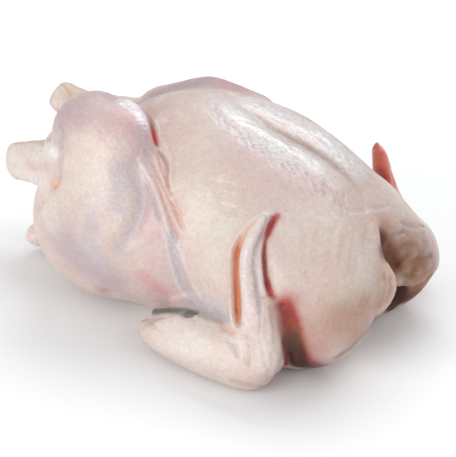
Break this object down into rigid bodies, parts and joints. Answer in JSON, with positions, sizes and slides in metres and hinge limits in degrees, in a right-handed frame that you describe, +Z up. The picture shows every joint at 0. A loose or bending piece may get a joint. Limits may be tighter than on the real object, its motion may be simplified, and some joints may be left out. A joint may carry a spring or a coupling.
{
  "type": "whole raw chicken",
  "caption": "Whole raw plucked chicken lying on its back, breast up, legs folded and cut off at the hocks, wings folded with their tips leaning on the breast.",
  "frame": {"origin": "middle of the bird's bounding box, at the height of the board it lies on", "axes": "+X towards the neck end, +Y towards the bird's right side, +Z up, out of the breast"},
  "size_m": [0.282, 0.195, 0.1309],
  "materials": {
    "skin": "moist raw skin, soft gloss"
  },
  "bodies": {
    "root": {"chicken": "skin"}
  },
  "joints": []
}
